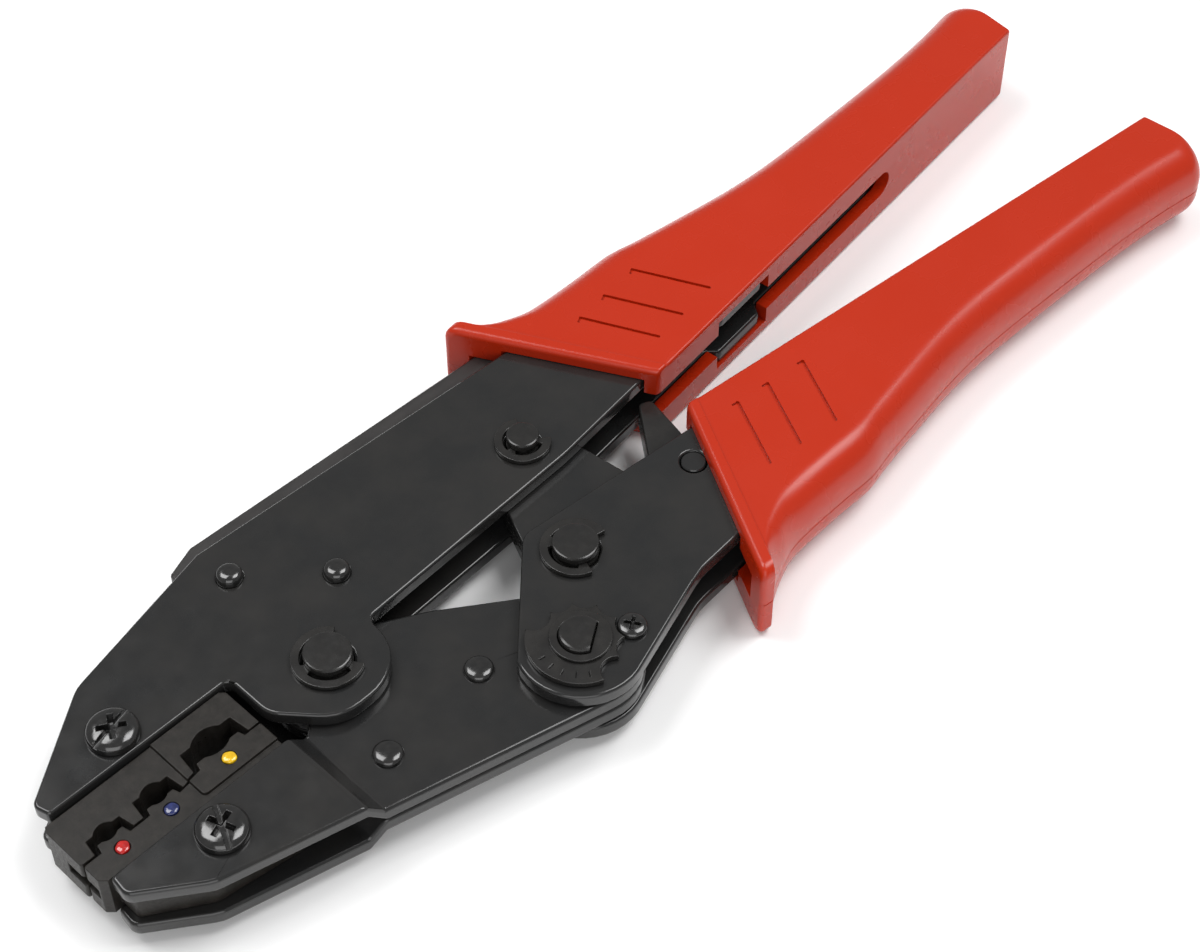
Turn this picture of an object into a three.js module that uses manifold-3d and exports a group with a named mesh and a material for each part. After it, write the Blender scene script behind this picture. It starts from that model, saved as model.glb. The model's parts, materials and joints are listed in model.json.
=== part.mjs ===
// Ratchet crimping tool for insulated cable terminals, lying flat.
//
// Millimetres, +Z up. The origin is on the main pivot's axis, in the plane that the tool lies on.
// X runs from the jaws towards the ends of the handles, Y from the moving handle to the fixed one.
// Every steel plate is the same thickness, and the plates are stacked in mirrored pairs about MID:
// the frame and handle plates are the two outer layers, and the jaw and link plates the inner two.

import * as THREE from 'three';
import { mergeVertices } from 'three/addons/utils/BufferGeometryUtils.js';
import Module from 'manifold-3d';

const wasm = await Module();
wasm.setup();

// Driving dimensions
const PLATE = 2.6;
const SLACK = 0.15;
const CAVITY = 2 * PLATE + 3 * SLACK;
const STACK = CAVITY + 2 * PLATE;
const GRIP = 16;
const MID = GRIP / 2;
const TOP = MID + STACK / 2;
const OUTER_LAYER = MID + CAVITY / 2;
const INNER_LAYER = MID + SLACK / 2;
const HEAD = 2.2;

// Degrees between points on a curve in an outline, and sides on a turned body
const ARC_STEP = 9;
const TURNED_SIDES = 20;

// Pivots and fasteners, as [x, y] in the plan
const MAIN_PIVOT = [0, 0];
const ECCENTRIC = [28.2, -24];
const HANDLE_PIN = [39.9, -11.3];
const LINK_PIN = [49.2, 9.6];
const PAWL_PIVOT = [65.2, -12];
const UPPER_SCREW = [-30.3, 12.2];
const LOWER_SCREW = [-29.9, -11.5];
const LOCK_SCREW = [35.4, -27.6];
const FRAME_RIVETS = { nose: [-0.2, 22], middle: [11.7, 11.2] };
const JAW_RIVETS = { nose: [-4, -17], heel: [15.5, -15.5] };

// Radii of the pins that things turn on
const MAIN_R = 3.7;
const HANDLE_PIN_R = 3.6;
const LINK_PIN_R = 2.6;
const ECCENTRIC_R = 3.3;
const PAWL_RIVET_R = 2;
const RIVET_R = 1.7;
const SCREW_R = 2;
const LOCK_R = 1.4;
const LOCK_HEAD = 2.3;

// The grips: both have the same outline, the moving one mirrored. Grip coordinates start at the
// inner corner of the mouth, with x along the straight inner edge and y away from the other grip.
const FIXED_SIDE = { at: [74.1, 3.3], turn: 6.83, flip: 1 };
const MOVING_SIDE = { at: [72.5, -4.5], turn: -5.88, flip: -1 };
const GRIP_LENGTH = 104;
const GRIP_BODY = 15.4;
const MOUTH_LEAN = 22.3;
const END_LEAN = 12;
const FLANGE = 2.5;
const TAIL_LENGTH = 66;
const TAIL_EDGE = 2.4;
const BUMP = [17, 28];
const SLOT_END = 66;
const SLOT_HEIGHT = 5.2;

// The link's hole for the handle pin is wider than the pin. The play takes up what a fixed ratio
// between the hinges can't follow of the real linkage's path.
const LINK_PLAY = 1;

const DEG = Math.PI / 180;
const cos = (degrees) => Math.cos(degrees * DEG);
const sin = (degrees) => Math.sin(degrees * DEG);

// ---------------------------------------------------------------- solids from three.js geometry

function solid(geometry) {
  const bare = geometry.index ? geometry : geometry.clone();
  bare.deleteAttribute('normal');
  bare.deleteAttribute('uv');
  const merged = mergeVertices(bare, 1e-4);
  return new wasm.Manifold(new wasm.Mesh({
    numProp: 3,
    vertProperties: new Float32Array(merged.attributes.position.array),
    triVerts: new Uint32Array(merged.index.array),
  }));
}

function geometryOf(manifold) {
  const mesh = manifold.getMesh();
  const geometry = new THREE.BufferGeometry();
  geometry.setAttribute('position', new THREE.BufferAttribute(mesh.vertProperties, 3));
  geometry.setIndex(new THREE.BufferAttribute(mesh.triVerts, 1));
  geometry.computeVertexNormals();
  return geometry;
}

const union = (...solids) => solids.reduce((all, next) => all.add(next));
const cut = (body, ...tools) => tools.reduce((rest, tool) => rest.subtract(tool), body);

// A prism over a plan outline, from the height z up.
function prism(points, z, height) {
  const shape = new THREE.Shape(points.map(([x, y]) => new THREE.Vector2(x, y)));
  const geometry = new THREE.ExtrudeGeometry(shape, { depth: height, bevelEnabled: false });
  return solid(geometry.translate(0, 0, z));
}

// A prism over an outline in X and Z that runs from y = from to y = to.
function sidePrism(points, from, to) {
  const shape = new THREE.Shape(points.map(([x, z]) => new THREE.Vector2(x, z)));
  const geometry = new THREE.ExtrudeGeometry(shape, { depth: to - from, bevelEnabled: false });
  return solid(geometry.rotateX(90 * DEG).translate(0, to, 0));
}

function box(x0, x1, y0, y1, z0, z1) {
  const geometry = new THREE.BoxGeometry(x1 - x0, y1 - y0, z1 - z0);
  return solid(geometry.translate((x0 + x1) / 2, (y0 + y1) / 2, (z0 + z1) / 2));
}

// A body turned about Z from [radius, z] points that start and end on the axis.
function turned(profile) {
  const points = profile.map(([radius, z]) => new THREE.Vector2(radius, z));
  return solid(new THREE.LatheGeometry(points, TURNED_SIDES).rotateX(90 * DEG));
}

function rod([x, y], radius, z0 = -1, z1 = GRIP + 1) {
  return turned([[0, z0], [radius, z0], [radius, z1], [0, z1]]).translate([x, y, 0]);
}

// ---------------------------------------------------------------- outlines

function arc([x, y], radius, from, to) {
  const steps = Math.max(1, Math.round(Math.abs(to - from) / ARC_STEP));
  const angles = Array.from({ length: steps + 1 }, (_, i) => from + ((to - from) * i) / steps);
  return angles.map((angle) => [x + radius * cos(angle), y + radius * sin(angle)]);
}

// Corners are [x, y] for a sharp one or [x, y, radius] for a round one.
function rounded(corners) {
  const count = corners.length;
  return corners.flatMap(([x, y, radius], i) => {
    if (!radius) return [[x, y]];
    const here = new THREE.Vector2(x, y);
    const before = corners[(i + count - 1) % count];
    const after = corners[(i + 1) % count];
    const back = new THREE.Vector2(before[0], before[1]).sub(here).normalize();
    const ahead = new THREE.Vector2(after[0], after[1]).sub(here).normalize();
    const half = Math.acos(back.dot(ahead)) / 2;
    const centre = here.clone().add(back.clone().add(ahead).setLength(radius / Math.sin(half)));
    const start = here.clone().addScaledVector(back, radius / Math.tan(half)).sub(centre).angle();
    const end = here.clone().addScaledVector(ahead, radius / Math.tan(half)).sub(centre).angle();
    const sweep = (((end - start) / DEG + 540) % 360) - 180;
    return arc([centre.x, centre.y], radius, start / DEG, start / DEG + sweep);
  });
}

// Grip coordinates to the plan
function onGrip(side, [x, y, radius]) {
  const across = y * side.flip;
  return [
    side.at[0] + x * cos(side.turn) - across * sin(side.turn),
    side.at[1] + x * sin(side.turn) + across * cos(side.turn),
    radius,
  ];
}

// The tail of a frame or handle plate inside its grip, from the inner edge round to the outer
// one. The bump is the stop that meets the other handle's bump when the tool is squeezed shut.
const TAIL = [
  [BUMP[0] - 1.5, TAIL_EDGE, 1],
  [BUMP[0], 0.5, 1],
  [BUMP[1], 0.5, 1],
  [BUMP[1] + 1.5, TAIL_EDGE, 1],
  [TAIL_LENGTH, TAIL_EDGE, 3],
  [TAIL_LENGTH, 9.5, 3],
  [20, 15.5, 8],
  [0, 21.8, 8],
];

// ---------------------------------------------------------------- fasteners

// A headed pin with a groove for its clip above the plates. Its head is underneath.
function clipPin(radius) {
  const chamfer = 0.35;
  const groove = radius - 0.7;
  const cap = TOP + HEAD;
  return turned([
    [0, 0], [radius + 1.5, 0], [radius + 1.9, 0.4], [radius + 1.9, MID - STACK / 2 - SLACK],
    [radius, MID - STACK / 2 - SLACK], [radius, TOP + 0.1], [groove, TOP + 0.1],
    [groove, TOP + 1.1], [radius, TOP + 1.1], [radius, cap - chamfer], [radius - chamfer, cap], [0, cap],
  ]);
}

// A retaining clip: a ring with a mouth and three lugs that reach into the pin's groove.
function clip(pinRadius, mouthAngle) {
  const mouth = 48;
  const ends = mouth + 10;
  const lug = (angle) => arc([0, 0], pinRadius - 0.5, angle - 11, angle + 11);
  const between = (from, to) => arc([0, 0], pinRadius + 0.55, from + 13, to - 13);
  const outline = [
    ...arc([0, 0], pinRadius + 1.9, 360 - mouth, mouth),
    ...lug(ends),
    ...between(ends, 180),
    ...lug(180),
    ...between(180, 360 - ends),
    ...lug(360 - ends),
  ];
  return prism(outline, TOP + 0.18, 0.8).rotate([0, 0, mouthAngle]);
}

// A rivet with a domed head on each side.
function domedRivet(radius, lowFace, highFace, rise) {
  const dome = (face, direction) => [0, 30, 60, 90].map((angle) => [
    (radius + 0.4) * cos(angle),
    face + direction * rise * sin(angle),
  ]);
  return turned([
    ...dome(lowFace - SLACK, -1).reverse(),
    [radius, lowFace - SLACK],
    [radius, highFace + SLACK],
    ...dome(highFace + SLACK, 1),
  ]);
}

// A cross-recessed screw with a round head. Die screws have a slot across the recess as well.
function crossScrew(headRadius, headBase, shankRadius, tip, slotted) {
  const rise = headRadius * 0.5;
  const dome = [0, 25, 50, 75, 90].map((angle) => [
    headRadius * cos(angle),
    headBase + 0.3 + (rise - 0.3) * sin(angle),
  ]);
  const body = turned([[0, tip], [shankRadius, tip], [shankRadius, headBase], [headRadius, headBase], ...dome]);
  const reach = headRadius * 0.5;
  const width = headRadius * 0.11;
  const floor = headBase + rise * 0.3;
  const bars = [
    box(-reach, reach, -width, width, floor, TOP + 5),
    box(-width, width, -reach, reach, floor, TOP + 5),
  ];
  if (slotted) bars.push(box(-headRadius, headRadius, -width, width, floor + rise * 0.35, TOP + 5));
  return cut(body, ...bars).rotate([0, 0, 25]);
}

// ---------------------------------------------------------------- the fixed frame

function frameOutline() {
  return rounded([
    [-45.2, 7.9, 0.8],
    [-12.5, 7.75, 1.3],
    [-12.5, -0.9, 5],
    [-5.4, -9.1, 8],
    [9, -9.1, 9],
    [9.2, 1.5, 1.6],
    [52.5, 3.3, 20],
    ...TAIL.map((corner) => onGrip(FIXED_SIDE, corner)),
    [-0.9, 29, 1.5],
    [-29, 22.5, 6],
    [-46, 10.8, 1.5],
  ]);
}

function framePlate(z) {
  return cut(
    prism(frameOutline(), z, PLATE),
    rod(MAIN_PIVOT, MAIN_R + SLACK),
    rod(LINK_PIN, LINK_PIN_R + SLACK),
    rod(UPPER_SCREW, SCREW_R + SLACK),
    ...Object.values(FRAME_RIVETS).map((place) => rod(place, RIVET_R + SLACK)),
  );
}

// The strip between the plates along the back. It stands proud of them and backs the nose rivet.
function backSpacer() {
  const outline = rounded([
    [-6.5, 24, 1],
    [-5, 30.7, 0.6],
    [0.4, 32.6, 1.5],
    [62, 30.1, 1],
    [62, 24.5, 1],
    [8, 25, 3],
    [4.5, 16.5, 2],
    [-4.5, 17, 2],
  ]);
  const layer = prism(outline, MID - CAVITY / 2 + SLACK, CAVITY - 2 * SLACK);
  return cut(layer, rod(FRAME_RIVETS.nose, RIVET_R + SLACK));
}

// ---------------------------------------------------------------- the dies

// Each nest is centred at x and has its own seam height, where the two dies meet. The upper die's
// cavity rises to a shoulder and then an arch; the lower die's punch is hollowed by a dip.
const NESTS = [
  { x: -41.05, half: 2.95, seam: -1.35, shoulder: 1.45, arch: 2.3, punch: -0.1, dip: -0.6 },
  { x: -32.25, half: 3.1, seam: -1.35, shoulder: 1.85, arch: 2.7, punch: -0.35, dip: -0.85 },
  { x: -21.1, half: 4.6, seam: -0.8, shoulder: 2.95, arch: 4.1, punch: 0.25, dip: -0.5 },
];
const SEAM_GAP = 0.32;
const DIE_LEFT = -47;
const DIE_RIGHT = -13.95;
const BLOCK_LEFT = -27.6;
const DIE_HEAD = 8.45;
const DIE_BLOCK = 9.5;
const DIE_FLANGE = CAVITY - 2 * SLACK;
const DOT_R = 1.05;
const DOT_DROP = 2;

// Points across a nest: a slope, a flat, a parabola between the flats, and back down.
function nestEdge({ x, half, slope, seam, flat, middle }) {
  const hump = [-1, -0.75, -0.5, -0.25, 0, 0.25, 0.5, 0.75, 1].map((t) => [
    x + t * half * 0.6,
    flat + (middle - flat) * (1 - t * t),
  ]);
  return [
    [x - half - slope, seam],
    [x - half, flat],
    ...hump,
    [x + half, flat],
    [x + half + slope, seam],
  ];
}

function upperDieEdge() {
  return NESTS.flatMap((nest) => nestEdge({
    x: nest.x, half: nest.half, slope: 0.45, seam: nest.seam + SEAM_GAP / 2, flat: nest.shoulder, middle: nest.arch,
  }));
}

function lowerDieEdge() {
  return NESTS.flatMap((nest) => nestEdge({
    x: nest.x, half: nest.half - 0.7, slope: 0.35, seam: nest.seam - SEAM_GAP / 2, flat: nest.punch, middle: nest.dip,
  }));
}

const centred = (outline, thickness) => prism(outline, MID - thickness / 2, thickness);

// The groove across the open end of both dies, for the wire stop.
const endGroove = () => box(DIE_LEFT - 1, DIE_LEFT + 1, -4.2, 2.4, MID - 1.1, MID + 1.1);

function upperDie() {
  const edge = upperDieEdge();
  const seam = edge[0][1];
  const blockSeam = edge[edge.length - 1][1];
  const top = 7.5;
  const outline = [
    [DIE_LEFT, top - 1], [DIE_LEFT, seam + 0.3], [DIE_LEFT + 0.3, seam], ...edge,
    [DIE_RIGHT, blockSeam], [DIE_RIGHT, top - 0.8], [DIE_RIGHT - 0.8, top], [DIE_LEFT + 0.5, top],
  ];
  const flange = rounded([[-44.5, 4], [-14.5, 4], [-14.5, 18, 2], [-34, 18, 2], [-44.5, 10.8, 1]]);
  const block = centred(outline, DIE_BLOCK).intersect(box(BLOCK_LEFT, 0, -5, 20, 0, GRIP));
  const body = union(centred(outline, DIE_HEAD), centred(flange, DIE_FLANGE), block);
  return cut(body, rod(UPPER_SCREW, SCREW_R + SLACK), endGroove());
}

const dotPlaces = () => NESTS.map((nest) => [nest.x + 0.1, nest.seam - 1.5]);
const dotFace = (index) => MID + (index === 2 ? DIE_BLOCK : DIE_HEAD) / 2;

function lowerDie() {
  const edge = lowerDieEdge();
  const seam = edge[0][1];
  const blockSeam = edge[edge.length - 1][1];
  const bottom = -5.7;
  const outline = [
    [DIE_LEFT + 0.2, bottom + 1], [DIE_LEFT + 0.2, seam - 0.3], [DIE_LEFT + 0.5, seam], ...edge,
    [DIE_RIGHT, blockSeam], [DIE_RIGHT, bottom], [DIE_LEFT + 1.2, bottom],
  ];
  const flange = rounded([[-44.5, -3], [-14.8, -3], [-14.8, -18.5, 1], [-35, -15.5, 2], [-44.5, -9.5, 1]]);
  const blockEdge = rounded([
    [BLOCK_LEFT, -4.7, 0.8], [BLOCK_LEFT, 3], [DIE_RIGHT + 1, 3], [DIE_RIGHT + 1, -4.7, 0.8],
  ]);
  const block = centred(outline, DIE_BLOCK).intersect(prism(blockEdge, 0, GRIP));
  const body = union(centred(outline, DIE_HEAD), centred(flange, DIE_FLANGE), block);
  const dimples = dotPlaces().map((place, i) => rod(place, DOT_R + 0.1, dotFace(i) - 0.5));
  return cut(body, rod(LOWER_SCREW, SCREW_R + SLACK), endGroove(), ...dimples);
}

function paintDot(index) {
  const face = dotFace(index);
  return turned([[0, face - 0.4], [DOT_R, face - 0.4], [DOT_R, face], [DOT_R * 0.6, face + 0.15], [0, face + 0.2]]);
}

// ---------------------------------------------------------------- the moving jaw

// Where the jaw plates step outwards, from the inner layer to the frame plates' layer.
const JOGGLE = [-13.3, -10.6];

function jawOutline() {
  return rounded([
    [-45.6, -6.1, 0.8],
    [-46, -9.9, 2],
    [-36, -17.1, 5],
    ...arc(ECCENTRIC, 9.7, -105, 45),
    [29.5, -10.4, 2],
    [18, -2.2, 5],
    [11, 1.8, 3],
    ...arc(MAIN_PIVOT, 9.5, 15, 210),
    [-10, -6.1, 1],
  ]);
}

// One jaw plate. The rear one is the mirror image about the middle of the stack.
function jawPlate(direction) {
  const level = (z) => MID + direction * (z - MID);
  const profile = [
    [-60, OUTER_LAYER], [JOGGLE[0], OUTER_LAYER], [JOGGLE[1], INNER_LAYER], [60, INNER_LAYER],
    [60, INNER_LAYER + PLATE], [JOGGLE[1], INNER_LAYER + PLATE],
    [JOGGLE[0], OUTER_LAYER + PLATE], [-60, OUTER_LAYER + PLATE],
  ];
  const bent = sidePrism(profile.map(([x, z]) => [x, level(z)]), -60, 60);
  return cut(
    prism(jawOutline(), 0, GRIP).intersect(bent),
    rod(MAIN_PIVOT, MAIN_R + SLACK),
    rod(ECCENTRIC, ECCENTRIC_R + SLACK),
    rod(LOWER_SCREW, SCREW_R + SLACK),
    ...Object.values(JAW_RIVETS).map((place) => rod(place, RIVET_R + SLACK)),
  );
}

// ---------------------------------------------------------------- the moving handle

function handlePlate(z, isFront) {
  const outline = rounded([
    ...arc(ECCENTRIC, 10, 155, 284),
    [50.5, -27.4, 12],
    ...TAIL.map((corner) => onGrip(MOVING_SIDE, corner)).reverse(),
    [36.4, -3.4, 3.5],
  ]);
  const holes = [
    rod(ECCENTRIC, ECCENTRIC_R + SLACK),
    rod(HANDLE_PIN, HANDLE_PIN_R + SLACK),
    rod(PAWL_PIVOT, PAWL_RIVET_R + SLACK),
  ];
  if (isFront) holes.push(rod(LOCK_SCREW, LOCK_R + SLACK));
  return cut(prism(outline, z, PLATE), ...holes);
}

// The notched wheel turns the eccentric pin, which sets how hard the tool crimps. The lock screw's
// head sits in one of the notches. The smooth stretch of the rim carries stamped marks.
const WHEEL_R = 8.3;
const WHEEL_BASE = TOP + 0.12;
const WHEEL = 0.95;
const NOTCH_PITCH = 33;
const NOTCHES = [-2, -1, 0, 1, 2, 3, 4];
const PIN_FLAT = 1.9;
const PIN_FLAT_FACES = -57;

function adjusterWheel() {
  const lock = new THREE.Vector2(LOCK_SCREW[0] - ECCENTRIC[0], LOCK_SCREW[1] - ECCENTRIC[1]);
  const notches = NOTCHES.map((step) => {
    const angle = lock.angle() / DEG + step * NOTCH_PITCH;
    return rod([lock.length() * cos(angle), lock.length() * sin(angle)], LOCK_HEAD + 0.25);
  });
  return cut(rod([0, 0], WHEEL_R, WHEEL_BASE, WHEEL_BASE + WHEEL), keyedBore(), ...notches);
}

// Everything on the far side of the eccentric pin's flat
const beyondFlat = (distance) => box(distance, 10, -10, 10, -2, GRIP + 2).rotate([0, 0, PIN_FLAT_FACES]);
const keyedBore = () => cut(rod([0, 0], ECCENTRIC_R + SLACK), beyondFlat(PIN_FLAT + SLACK));

function eccentricPin() {
  const cap = TOP + HEAD + 0.3;
  const under = MID - STACK / 2 - SLACK;
  const round = turned([
    [0, 0], [5, 0], [5.4, 0.4], [5.4, under], [ECCENTRIC_R, under],
    [ECCENTRIC_R, cap - 0.4], [ECCENTRIC_R - 0.4, cap], [0, cap],
  ]);
  return cut(round, beyondFlat(PIN_FLAT).intersect(box(-9, 9, -9, 9, TOP + 0.05, GRIP + 1)));
}

function adjusterWasher() {
  const base = WHEEL_BASE + WHEEL + 0.06;
  return cut(rod([0, 0], 4.7, base, base + 0.5), keyedBore());
}

// ---------------------------------------------------------------- the link and its ratchet

const TEETH = 11;
const TOOTH_PITCH = 3.7;
const TEETH_FROM = -20;
const TOOTH_TIP = 19.3;
const TOOTH_ROOT = 18.4;
const LINK_END = 6.3;

// Saw teeth on an arc about the handle pin: a radial face, then a slope to the next one
function ratchetTeeth() {
  const start = (tooth) => TEETH_FROM + tooth * TOOTH_PITCH;
  const at = (radius, angle) => [HANDLE_PIN[0] + radius * cos(angle), HANDLE_PIN[1] + radius * sin(angle)];
  return Array.from({ length: TEETH }, (_, tooth) => [
    at(TOOTH_ROOT, start(tooth)),
    at(TOOTH_TIP, start(tooth) + TOOTH_PITCH * 0.8),
  ]).flat();
}

function linkPlate(z) {
  const outline = rounded([
    ...arc(HANDLE_PIN, LINK_END, 155, 275),
    ...ratchetTeeth(),
    [57, 3, 1],
    ...arc(LINK_PIN, LINK_END, 10, 155),
  ]);
  const wide = rod(HANDLE_PIN, HANDLE_PIN_R + LINK_PLAY);
  return cut(prism(outline, z, PLATE), wide, rod(LINK_PIN, LINK_PIN_R + SLACK));
}

// The pawl: a nose at the teeth, and a lever that stands up between the handles to let it off
function pawl() {
  const outline = rounded([
    ...arc(PAWL_PIVOT, 3.6, 225, 375),
    [70.4, -4, 2],
    [71.9, 3.4, 1],
    [69.8, 4.4, 1],
    [63, -4.4, 1.5],
    [62.6, -9, 1],
    [60.2, -10.4, 0.3],
    [60.2, -12, 0.3],
  ]);
  return cut(prism(outline, MID - 2.4, 4.8), rod(PAWL_PIVOT, PAWL_RIVET_R + SLACK));
}

// ---------------------------------------------------------------- the moulded grips

const GROOVES = [1.1, 7.4, 14.9];
const GROOVE_DEPTH = 0.5;

// A plate with elliptical edges: full outline in the middle of the thickness, less at the faces
function softPrism(corners, thickness, edge, inset) {
  const shape = new THREE.Shape(rounded(corners).map(([x, y]) => new THREE.Vector2(x, y)));
  const geometry = new THREE.ExtrudeGeometry(shape, {
    depth: thickness - 2 * edge,
    bevelThickness: edge,
    bevelSize: inset,
    bevelOffset: -inset,
    bevelSegments: 5,
  });
  return solid(geometry.translate(0, 0, MID - thickness / 2 + edge));
}

// The outer side of the grip, from the end to the mouth: a slim waist, a hump where the hand
// stops, and a hollow sweep up to the flange.
const GRIP_SIDE = [
  [GRIP_LENGTH + 30, 13.4],
  [90, 13.7, 60],
  [62, 15.7, 60],
  [38, 18.9, 60],
  [19, 25, 8],
  [3, 26.9, 25],
  [-6, 30, 12],
  [-20, 44],
];
const mouthAt = (y) => -1 - y * Math.tan(MOUTH_LEAN * DEG);
const endAt = (y) => GRIP_LENGTH + y * Math.tan(END_LEAN * DEG);

// All of the grip shapes are drawn in grip coordinates, for the fixed side.
function gripBody() {
  const barrel = softPrism([[-20, -12], [GRIP_LENGTH + 30, -12], ...GRIP_SIDE], GRIP_BODY, 6.4, 5.6);
  const ends = prism(rounded([
    [mouthAt(-5), -5], [endAt(-5), -5], [endAt(13.5), 13.5, 4.5], [60, 16, 2], [10, 30], [mouthAt(32), 32],
  ]), -2, GRIP + 4);
  const flange = softPrism([
    [mouthAt(-3), -3], [mouthAt(-3) + FLANGE, -3],
    [mouthAt(33.4) + FLANGE, 33.4, 1.05], [mouthAt(33.4), 33.4, 1.05],
  ], GRIP, 1.1, 0.9);
  const innerFace = prism([[-30, 0], [130, 0], [130, 50], [-30, 50]], -2, GRIP + 4);
  return union(barrel.intersect(ends), flange).intersect(innerFace);
}

// The hollow that takes the plates' tails and the back strip, and opens as a slot between the
// handles for the middle layers.
function gripHollow() {
  const layers = (points, thickness) => prism(points, MID - thickness / 2, thickness);
  const tails = [
    [-20, TAIL_EDGE - 0.3], [TAIL_LENGTH + 0.8, TAIL_EDGE - 0.3], [TAIL_LENGTH + 0.8, 10.5],
    [20, 16.6], [0, 22.3], [-20, 25.8],
  ];
  const strip = [[-20, 10], [-5, 10], [-7.5, 28.3], [-20, 30.5]];
  const half = SLOT_HEIGHT / 2;
  const slot = rounded([
    [-20, MID - half], [SLOT_END, MID - half, half - 0.01], [SLOT_END, MID + half, half - 0.01], [-20, MID + half],
  ]);
  const window = [[BUMP[0] - 1.5, -1], [BUMP[1] + 1.5, -1], [BUMP[1] + 1.5, 5], [BUMP[0] - 1.5, 5]];
  return union(
    layers(tails, STACK + 2 * SLACK),
    layers(window, STACK + 2 * SLACK),
    layers(strip, CAVITY),
    sidePrism(slot, -1, 5),
  );
}

// Three thin finger grooves in each face, leaning a little more than the mouth
function gripGrooves() {
  const half = 0.35;
  const length = 13.2;
  const outline = [...arc([0, 0], half, 90, 270), ...arc([length, 0], half, -90, 90)];
  const groove = prism(outline, -GROOVE_DEPTH, 2 * GROOVE_DEPTH).rotate([0, 0, -70.5]);
  return GROOVES.flatMap((x) => [-1, 1].map((face) => groove.translate([x, 17.3, MID + (face * GRIP_BODY) / 2])));
}

function grip(side) {
  const body = cut(gripBody(), gripHollow(), ...gripGrooves());
  const handed = side.flip < 0 ? body.mirror([0, 1, 0]) : body;
  return handed.rotate([0, 0, side.turn]).translate([side.at[0], side.at[1], 0]);
}

// ---------------------------------------------------------------- materials

const blackSteel = { color: 0x23262a, roughness: 0.42, metalness: 0.75 };
const MATERIALS = {
  plate: blackSteel,
  strip: { color: 0x2a2422, roughness: 0.5, metalness: 0.7 },
  die: { color: 0x2b2624, roughness: 0.7, metalness: 0.5 },
  pin: { color: 0x3a3b3d, roughness: 0.38, metalness: 0.85 },
  fastener: { color: 0x1c1d20, roughness: 0.28, metalness: 0.8 },
  clip: { color: 0x2c2d30, roughness: 0.35, metalness: 0.85 },
  grip: { color: 0xc93a20, roughness: 0.4, metalness: 0 },
  redDot: { color: 0xc03028, roughness: 0.5, metalness: 0 },
  blueDot: { color: 0x2f5fb0, roughness: 0.5, metalness: 0 },
  yellowDot: { color: 0xe0c040, roughness: 0.5, metalness: 0 },
};

// ---------------------------------------------------------------- assembly

const tool = new THREE.Group();
tool.name = 'crimping_tool';

function place(name, manifold, material, [x, y] = [0, 0]) {
  const mesh = new THREE.Mesh(geometryOf(manifold), new THREE.MeshStandardMaterial(MATERIALS[material]));
  mesh.name = name;
  mesh.position.set(x, y, 0);
  tool.add(mesh);
}

const REAR_LAYER = MID - STACK / 2;
const REAR_INNER = INNER_LAYER - SLACK - PLATE;

// The fixed frame
place('frame_plate_front', framePlate(OUTER_LAYER), 'plate');
place('frame_plate_rear', framePlate(REAR_LAYER), 'plate');
place('frame_back_strip', backSpacer(), 'strip');
for (const [name, at] of Object.entries(FRAME_RIVETS)) {
  place(`frame_rivet_${name}`, domedRivet(RIVET_R, REAR_LAYER, TOP, 1.6), 'fastener', at);
}
place('main_pivot_pin', clipPin(MAIN_R), 'pin', MAIN_PIVOT);
place('main_pivot_clip', clip(MAIN_R, -10), 'clip', MAIN_PIVOT);
place('link_pin', clipPin(LINK_PIN_R), 'pin', LINK_PIN);
place('link_pin_clip', clip(LINK_PIN_R, 10), 'clip', LINK_PIN);
place('upper_die', upperDie(), 'die');
place('upper_die_screw', crossScrew(4, TOP + SLACK, SCREW_R, REAR_LAYER, true), 'fastener', UPPER_SCREW);
place('fixed_grip', grip(FIXED_SIDE), 'grip');

// The moving jaw
place('jaw_plate_front', jawPlate(1), 'plate');
place('jaw_plate_rear', jawPlate(-1), 'plate');
for (const [name, at] of Object.entries(JAW_RIVETS)) {
  place(`jaw_rivet_${name}`, domedRivet(RIVET_R, REAR_INNER, INNER_LAYER + PLATE, 1), 'fastener', at);
}
place('lower_die', lowerDie(), 'die');
place('lower_die_screw', crossScrew(4, TOP + SLACK, SCREW_R, REAR_LAYER, true), 'fastener', LOWER_SCREW);
['redDot', 'blueDot', 'yellowDot'].forEach((colour, i) => {
  const name = `die_mark_${colour.replace('Dot', '')}`;
  place(name, paintDot(i), colour, dotPlaces()[i]);
});

// The moving handle
place('handle_plate_front', handlePlate(OUTER_LAYER, true), 'plate');
place('handle_plate_rear', handlePlate(REAR_LAYER, false), 'plate');
place('moving_grip', grip(MOVING_SIDE), 'grip');
place('eccentric_pin', eccentricPin(), 'pin', ECCENTRIC);
place('adjuster_wheel', adjusterWheel(), 'clip', ECCENTRIC);
place('adjuster_washer', adjusterWasher(), 'clip', ECCENTRIC);
place('wheel_lock_screw', crossScrew(LOCK_HEAD, TOP + 0.1, LOCK_R, OUTER_LAYER + 0.1, false), 'fastener', LOCK_SCREW);
place('handle_pin', clipPin(HANDLE_PIN_R), 'pin', HANDLE_PIN);
place('handle_pin_clip', clip(HANDLE_PIN_R, -59), 'clip', HANDLE_PIN);
place('pawl_rivet', rod([0, 0], PAWL_RIVET_R, REAR_LAYER, TOP), 'pin', PAWL_PIVOT);

// The link and the pawl
place('link_plate_front', linkPlate(INNER_LAYER), 'plate');
place('link_plate_rear', linkPlate(REAR_INNER), 'plate');
place('ratchet_pawl', pawl(), 'clip');

export default tool;
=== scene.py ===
"""The looks of the ratchet crimping tool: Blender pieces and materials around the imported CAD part.

The plates, back strip, dies, link and pawl are the CAD nodes, with finely rounded edges and painted,
cast or stamped steel materials. Pins, clips, rivets, screws, the adjuster, the paint marks and the
moulded grips are finer pieces that stand for their CAD nodes. Lengths are in millimetres until a mesh
is made.
"""

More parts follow.
